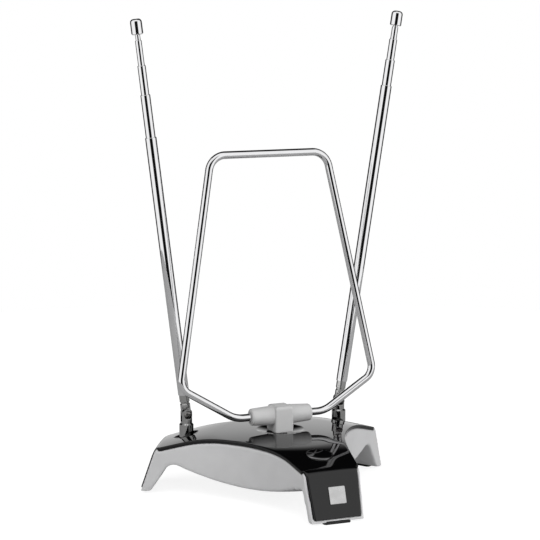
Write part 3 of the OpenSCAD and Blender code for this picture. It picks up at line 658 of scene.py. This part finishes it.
def arch_section(reach, depth, lean, r):
    """The open space under the arch of a leg."""
    c_z, under = ARCH_Z - r, -10
    c_a = reach - depth - (r + math.sin(lean) * (c_z - FOOT_Z)) / math.cos(lean)
    turn = arc((c_a, c_z), r, math.degrees(lean), 90 + math.degrees(ARCH_SLOPE), 12)
    low, high = turn[0], turn[-1]
    outer = (low[0] + (low[1] - under) * math.tan(lean), under)
    inner = (high[0] - (high[1] - under) / math.tan(ARCH_SLOPE), under)
    return [outer] + turn + [inner]


def under_roof():
    """The space under the cover's roof. Its lips stand as high as the roof where that bends down."""
    line = [(r, crown(r) - COVER_T - SEAM) for r in range(ROOF_REACH, -1, -2)]
    blocks = []
    low, high = LIP_BLOCK_Z
    for leg in LEGS:
        near, far = end_path(LEG_REACH[leg], 0, BEND_ROWS)[1][0] + 0.2, LEG_REACH[leg] + 5
        block = slab((far - near, LIP_BLOCK_W, high - low), ((near + far) / 2, 0, (low + high) / 2))
        blocks.append(("UNION", moved(block, at_leg(leg))))
    return solved(moved(lathe([(0, 0), (ROOF_REACH, 0)] + line, LATHE_STEPS), MIDDLE), *blocks)


def under_belly():
    """The space under the round belly."""
    radii = [BELLY_CUT * k / 22 for k in range(23)]
    line = [(0, -1)] + [(r, belly(r)) for r in radii] + [(BELLY_CUT, -1)]
    return moved(lathe(line, LATHE_STEPS), MIDDLE)


def panel_recess(leg):
    """The space of the cover's panel on an end face."""
    near, far, inset = 62, LEG_REACH[leg] + 20, PANEL_INSET - SEAM
    strip = prism([(near, inset - half_width(near)), (far, inset - half_width(far)),
                   (far, half_width(far) - inset), (near, half_width(near) - inset)], FOOT_Z + LIP_H, TALL)
    face = across(leg, end_section(LEG_REACH[leg], PANEL_PROUD + COVER_T, True), WIDE)
    return solved(moved(strip, at_leg(leg)), ("INTERSECT", face))


def housing_wells():
    """The spaces of the panels, screws, sockets, button, hub's stem and rods' collars."""
    wells = []
    screw_r, screw_top = SCREW_WELL
    for leg in LEGS:
        wells += [panel_recess(leg), moved(pin(screw_r, -1, screw_top), at_leg(leg, SCREW_AT))]
    for x, r in SOCKETS:
        mouth = Matrix.Translation((x, LEGS_Y, SOCKET_Z)) @ Matrix.Rotation(-math.pi / 2, 4, "X")
        wells.append(moved(pin(r, 0, SOCKET_L), mouth))
    room, depth = BUTTON_WELL
    wells.append(moved(pin(BUTTON_R + room, -depth, depth), on_crown(FRONT, BUTTON_AT)))
    wells.append(moved(pin(*STEM_WELL, TALL), at_hub()))
    for leg in (RIGHT, LEFT):
        wells.append(moved(pin(*COLLAR_WELL, TALL), at_leg(leg, ROD_AT)))
    return wells


def near_end(point):
    """Whether a point is at the thin lips of a leg's end face."""
    for leg in LEGS:
        along = at_leg(leg).inverted() @ point
        if along.x > end_face(LEG_REACH[leg], along.z) - LIP_DEPTH and abs(along.y) < LEG_HALF:
            return True
    return False


def make_housing():
    """The tripod moulding, with its arches, belly and wells, and with moulded edges."""
    steps = [("INTERSECT", under_roof())]
    for leg in LEGS:
        steps.append(("INTERSECT", across(leg, end_section(LEG_REACH[leg], PANEL_PROUD, False), WIDE)))
    for leg in LEGS:
        steps.append(("DIFFERENCE", across(leg, arch_section(LEG_REACH[leg], *ARCH_OF_LEG[leg]), LEG_WIDE)))
    steps += [("DIFFERENCE", tool) for tool in (under_belly(), *housing_wells())]
    soft = softened(solved(prism(base_plan(), FOOT_Z, TALL), *steps), MOULD_VOXEL, MOULD_PASSES)
    low = []
    for v in soft.verts:
        roof = crown(math.hypot(v.co.x, v.co.y - LEGS_Y))
        if v.co.z < roof - LOW_EDGES and not near_end(v.co):
            low.append(v)
    for _ in range(LOW_PASSES):
        bmesh.ops.smooth_vert(soft, verts=low, factor=0.5, use_axis_x=True, use_axis_y=True, use_axis_z=True)
    piece("housing", soft, light_grey, "base", "base_housing", 180)


def make_button():
    """The button's cap, dished on top, with a rounded rim."""
    inner = BUTTON_R - BUTTON_FLAT
    ball = (inner * inner + BUTTON_DISH**2) / (2 * BUTTON_DISH)
    radii = [inner * k / 16 for k in range(17)]
    bowl = [(r, ball - BUTTON_DISH - math.sqrt(ball * ball - r * r)) for r in radii]
    rim = arc((BUTTON_R - BUTTON_RIM, -BUTTON_RIM), BUTTON_RIM, 90, 0, 8)
    cap = lathe(bowl + rim + [(BUTTON_R, -BUTTON_H), (0, -BUTTON_H)], 96)
    moved(cap, on_crown(FRONT, BUTTON_AT) @ Matrix.Translation((0, 0, -BUTTON_SINK)))
    piece("button_cap", cap, gloss_black, "button", "power_button", 40)


def make_name_plate():
    """The bare plate on the front, with rounded corners and a broken edge."""
    plate = slab((PLATE_W, PLATE_H, PLATE_T), (0, 0, PLATE_T / 2))
    upright = [e for e in plate.edges if abs(e.verts[0].co.z - e.verts[1].co.z) > PLATE_T / 2]
    bmesh.ops.bevel(plate, geom=upright, offset=PLATE_CORNER, segments=4, profile=0.5, affect="EDGES",
                    material=-1)
    edge = [e for e in plate.edges if min(v.co.z for v in e.verts) > PLATE_T - 0.01]
    bmesh.ops.bevel(plate, geom=edge, offset=PLATE_EDGE, segments=2, profile=0.5, affect="EDGES", material=-1)
    spot = at_leg(FRONT) @ Matrix.Translation((end_face(FRONT_REACH, PLATE_Z), PLATE_X, PLATE_Z))
    facing = Matrix.Rotation(math.pi / 2 - END_LEAN, 4, "Y") @ Matrix.Rotation(math.pi / 2, 4, "Z")
    piece("name_plate_polished", moved(plate, spot @ facing), plate_metal, "base", "name_plate", 20)


# Hub and loop

def make_hub():
    """The hub's block and sleeves, with moulded edges."""
    hub = softened(node_mesh("loop_hub"), HUB_VOXEL, HUB_PASSES)
    piece("hub_moulding", hub, hub_grey, "hub", "loop_hub", 180)


def drawn_on(bm, ring, way):
    """Draws a ring of edges on by a vector and gives the new ring."""
    drawn = bmesh.ops.extrude_edge_only(bm, edges=ring)["geom"]
    verts = [part for part in drawn if isinstance(part, bmesh.types.BMVert)]
    bmesh.ops.translate(bm, vec=way, verts=verts)
    edges = [part for part in drawn if isinstance(part, bmesh.types.BMEdge)]
    return [e for e in edges if all(v in verts for v in e.verts)]


def make_loop():
    """One round tube from the right end to the left, drawn along its straights and turned round its bends."""
    left = [(-x, z) for x, z in reversed(LOOP_POINTS)]
    corners = [Vector((x, 0, z)) for x, z in [(LOOP_END, 0), *LOOP_POINTS, *left, (-LOOP_END, 0)]]
    bends = LOOP_BENDS + LOOP_BENDS[::-1]
    tube = bmesh.new()
    reached = corners[0]
    bmesh.ops.create_circle(tube, segments=LOOP_SIDES, radius=LOOP_R,
                            matrix=Matrix.Translation(reached) @ Matrix.Rotation(math.pi / 2, 4, "Y"))
    ring = list(tube.edges)
    for last, corner, following, r in zip(corners, corners[1:], corners[2:], bends):
        way, next_way = (corner - last).normalized(), (following - corner).normalized()
        turn, axis = way.angle(next_way), way.cross(next_way).normalized()
        run = r * math.tan(turn / 2)
        start = corner - way * run
        ring = drawn_on(tube, ring, start - reached)
        turned = bmesh.ops.spin(tube, geom=ring, cent=start + axis.cross(way) * r, axis=axis, angle=turn,
                                steps=BEND_STEPS)["geom_last"]
        ring = [part for part in turned if isinstance(part, bmesh.types.BMEdge)]
        reached = corner + next_way * run
    drawn_on(tube, ring, corners[-1] - reached)
    bmesh.ops.holes_fill(tube, edges=tube.edges)
    moved(tube, at_hub(LOOP_Z) @ Matrix.Rotation(-LOOP_LEAN, 4, "X"))
    piece("loop", tube, loop_chrome, "loop", "loop_tube", 40)


# Rods

def make_tubes(side, facts):
    """The telescopic tubes of a rod, each with a rolled lip on top."""
    top = TUBE_START + facts["first"]
    for k in TUBES:
        r = TUBE_R - (k - 1) * TUBE_STEP
        bore = r - TUBE_WALL
        length = facts["first"]
        if k > 1:
            length -= INNER_SHORTER
            top += facts["drawn"][k - 2]
        high = top + (CAP_GRIP if k == TUBES[-1] else 0)
        low = high - length
        lip = arc((r - ROLL_R, high - ROLL_R), ROLL_R, 0, 90, 5)
        rolled = [(bore - ROLL_IN, high), (bore - ROLL_IN, high - 0.8), (bore, high - 1.1)]
        profile = [(bore, low), (r, low)] + lip + rolled
        tube, node = moved(lathe(profile + [profile[0]], 64), along_rod(facts)), f"{side}_tube_{k}"
        piece(f"{node}_turned", tube, chrome, f"{side}_rod_{k}", node, 35)


def turned_copy(node, name, mat, body, sharp=30):
    """A merged copy of a turned node, shaded smooth."""
    bm = node_mesh(node)
    bmesh.ops.dissolve_degenerate(bm, edges=bm.edges, dist=MERGE)
    piece(name, bm, mat, body, node, sharp)


def make_rod(side):
    make_tubes(side, RODS[side])
    turned_copy(f"{side}_cap", f"{side}_cap_turned", chrome, f"{side}_rod_5", 35)
    turned_copy(f"{side}_ferrule", f"{side}_ferrule_turned", crimped, f"{side}_rod_1")
    turned_copy(f"{side}_rod_base", f"{side}_elbow_turned", nickel, f"{side}_elbow")
    turned_copy(f"{side}_hinge_screw", f"{side}_screw_turned", dark_steel, f"{side}_elbow")


def finish_plain_nodes():
    """Materials of the nodes that are shown as they are."""
    table = {
        "front_foot": rubber, "left_foot": rubber, "right_foot": rubber,
        "push_switch": black_plastic, "switch_plunger": ivory, "circuit_board": board_green,
        "shield_can": tin, "aerial_socket": nickel, "power_socket": black_plastic, "ballast_plate": iron,
        "housing_screws": dark_steel, "hub_screw": dark_steel, "hub_washer": nickel,
        "left_contact": bronze, "right_contact": bronze, "left_rod_nut": nickel, "right_rod_nut": nickel,
    }
    for node, mat in table.items():
        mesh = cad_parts[node].data
        mesh.materials.clear()
        mesh.materials.append(mat)


# Studio

def make_world():
    """White behind the object, pale screens at both sides and above, and dark gaps between them."""
    world = bpy.data.worlds.new("studio")
    bpy.context.scene.world = world
    world.use_nodes = True
    nodes, links = world.node_tree.nodes, world.node_tree.links
    nodes.clear()

    def maths(operation, *values):
        return node_maths(nodes, links, operation, *values)

    def step(value, low, high):
        ramp = nodes.new("ShaderNodeMapRange")
        ramp.interpolation_type = "SMOOTHSTEP"
        links.new(value, ramp.inputs["Value"])
        ramp.inputs["From Min"].default_value, ramp.inputs["From Max"].default_value = low, high
        return ramp.outputs["Result"]

    def fall(value, low, high):
        return maths("SUBTRACT", 1.0, step(value, low, high))

    def sum_of(a, x, b, y):
        return maths("ADD", maths("MULTIPLY", x, a), maths("MULTIPLY", y, b))

    split = nodes.new("ShaderNodeSeparateXYZ")
    links.new(nodes.new("ShaderNodeTexCoord").outputs["Generated"], split.inputs[0])
    x, y, z = split.outputs
    c, s = math.cos(CAMERA_YAW), -math.sin(CAMERA_YAW)
    back, right = sum_of(s, x, c, y), sum_of(c, x, -s, y)
    away = maths("MULTIPLY", maths("ABSOLUTE", maths("ARCTAN2", right, back)), 180 / math.pi)
    rise = maths("MULTIPLY", maths("ARCSINE", z), 180 / math.pi)
    behind = maths("MULTIPLY", fall(away, *BEHIND_SIDE), fall(rise, *BEHIND_RISE))
    screens = maths("MULTIPLY", step(away, *SCREENS_SIDE), fall(rise, *SCREENS_RISE))
    over = maths("MULTIPLY", step(rise, *OVER_RISE), step(away, *OVER_SIDE))
    flat = maths("SQRT", maths("ADD", maths("MULTIPLY", back, back), maths("MULTIPLY", right, right)))
    facing = maths("DIVIDE", sum_of(-math.sin(GAP_TURN), right, -math.cos(GAP_TURN), back), flat)
    gap = step(facing, math.cos(GAP_HALF + GAP_BLUR), math.cos(GAP_HALF))
    gap = maths("MULTIPLY", gap, fall(rise, *GAP_RISE))
    light = maths("MAXIMUM", maths("MAXIMUM", behind, screens), over)
    light = maths("ADD", maths("MULTIPLY", light, maths("SUBTRACT", 1.0, gap)), DARKEST)
    path = nodes.new("ShaderNodeLightPath")
    seen = maths("MAXIMUM", path.outputs["Is Camera Ray"], path.outputs["Is Transmission Ray"])
    level = maths("ADD", maths("MULTIPLY", light, maths("SUBTRACT", 1.0, seen)), seen)
    shade, out = nodes.new("ShaderNodeBackground"), nodes.new("ShaderNodeOutputWorld")
    shade.inputs["Color"].default_value = (1, 1, 1, 1)
    links.new(level, shade.inputs["Strength"])
    links.new(shade.outputs[0], out.inputs["Surface"])


def floor_paper():
    """White paper that keeps the shadow, with a share of its own glow for the camera."""
    mat = bpy.data.materials.new("floor paper")
    mat.use_nodes = True
    nodes, links = mat.node_tree.nodes, mat.node_tree.links
    nodes.clear()
    path = nodes.new("ShaderNodeLightPath")
    tone = nodes.new("ShaderNodeMix")
    tone.data_type = "RGBA"
    links.new(path.outputs["Is Glossy Ray"], tone.inputs[0])
    tone.inputs[6].default_value, tone.inputs[7].default_value = PAPER, PAPER_REFLECTED
    paper, glow = nodes.new("ShaderNodeBsdfDiffuse"), nodes.new("ShaderNodeEmission")
    links.new(tone.outputs[2], paper.inputs["Color"])
    glow.inputs["Strength"].default_value = GLOW
    both, out = nodes.new("ShaderNodeMixShader"), nodes.new("ShaderNodeOutputMaterial")
    links.new(node_maths(nodes, links, "MULTIPLY", path.outputs["Is Camera Ray"], GLOW_SHARE), both.inputs[0])
    links.new(paper.outputs[0], both.inputs[1])
    links.new(glow.outputs[0], both.inputs[2])
    links.new(both.outputs[0], out.inputs["Surface"])
    return mat


def make_floor():
    bm = bmesh.new()
    bmesh.ops.create_circle(bm, cap_ends=True, segments=96, radius=FLOOR_R,
                            matrix=Matrix.Translation(FLOOR_AT))
    floor = bench_object(bm)
    floor.name = "floor"
    floor.data.materials.append(floor_paper())


def lamp(name, at, target, size, watts):
    """A round soft lamp that shows in no reflection."""
    data = bpy.data.lights.new(name, "AREA")
    data.shape, data.size, data.energy = "DISK", size, watts
    obj = bpy.data.objects.new(name, data)
    bpy.context.scene.collection.objects.link(obj)
    obj.location = at
    obj.rotation_euler = (Vector(target) - Vector(at)).to_track_quat("-Z", "Y").to_euler()
    obj.visible_glossy = False


def make_camera():
    data = bpy.data.cameras.new("camera")
    data.sensor_width, data.lens = SENSOR, FOCAL_PX / IMAGE_PX * SENSOR
    data.clip_start, data.clip_end = 0.01, 20
    obj = bpy.data.objects.new("camera", data)
    bpy.context.scene.collection.objects.link(obj)
    obj.location = CAMERA_AT
    obj.rotation_euler = (math.pi / 2 + CAMERA_PITCH, 0, CAMERA_YAW)
    bpy.context.scene.camera = obj


make_cover()
make_housing()
make_loop()
make_hub()
make_name_plate()
make_button()
for side in RODS:
    make_rod(side)
finish_plain_nodes()
make_world()
make_floor()
for facts in LAMPS:
    lamp(*facts)
make_camera()
bpy.context.scene.view_settings.view_transform = "Standard"
